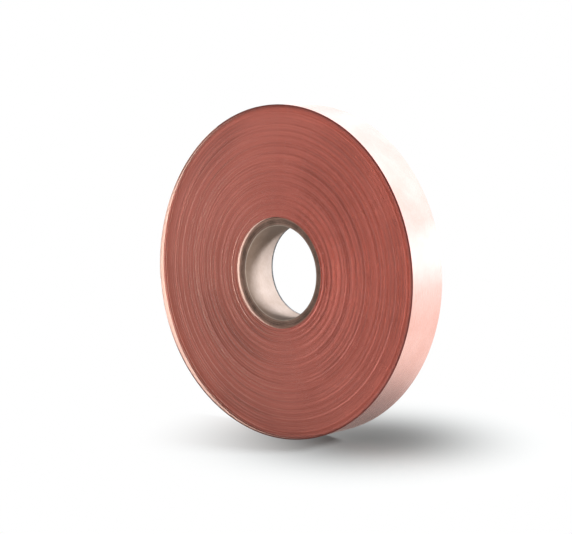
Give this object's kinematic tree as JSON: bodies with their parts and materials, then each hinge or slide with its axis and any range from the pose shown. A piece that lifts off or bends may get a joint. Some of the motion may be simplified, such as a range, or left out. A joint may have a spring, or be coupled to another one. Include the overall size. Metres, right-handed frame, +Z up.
{
  "type": "copper foil tape roll",
  "caption": "Roll of adhesive copper foil tape for stained glass work, wound on a paper core, with outer turns slipped proud of the face and a loose end that lifts and peels.",
  "frame": {"origin": "middle of the core's bore, halfway across the width of the tape", "axes": "+Y along the roll's axis from the front face to the back face, +Z up with the roll standing on its rim, +X to the right seen from the front"},
  "size_m": [0.092, 0.0136, 0.092],
  "materials": {
    "core_liner_paper": "matte",
    "core_board": "matte",
    "wound_tape": "satin",
    "copper_foil": "satin",
    "adhesive": "gloss",
    "release_liner": "satin"
  },
  "bodies": {
    "roll": {"core_bore_liner": "core_liner_paper", "core_inner_ply": "core_board", "core_middle_ply": "core_board", "core_outer_ply": "core_board", "core_wrap_ply": "core_board", "tape_turns_01": "wound_tape", "tape_turns_02": "wound_tape", "tape_turns_03": "wound_tape", "tape_turns_04": "wound_tape", "tape_turns_05": "wound_tape", "tape_turns_06": "wound_tape", "tape_turns_07": "wound_tape", "tape_turns_08": "wound_tape", "tape_turns_09": "wound_tape", "tape_turns_10": "wound_tape", "tape_turns_11": "wound_tape", "tape_turns_12": "wound_tape", "tape_turns_13": "wound_tape", "tape_turns_14": "wound_tape", "tape_turns_15": "wound_tape", "tape_turns_16": "wound_tape"},
    "tape_end": {"tail_foil": "copper_foil", "tail_adhesive": "adhesive", "tail_liner": "release_liner"},
    "liner_end": {"liner_end": "release_liner"}
  },
  "joints": [
    {"name": "tail_lift", "type": "hinge", "parent": "roll", "child": "tape_end", "pos_m": [-0.04062, 0, 0.0216], "axis": [0, 1, 0], "range_deg": [0, 90]},
    {"name": "liner_peel", "type": "hinge", "parent": "tape_end", "child": "liner_end", "pos_m": [-0.0459, 0, 0.0016], "axis": [0, -1, 0], "range_deg": [0, 54]}
  ],
  "couplings": [
    {"joint": "liner_peel", "follows": "tail_lift", "ratio": 0.6}
  ]
}
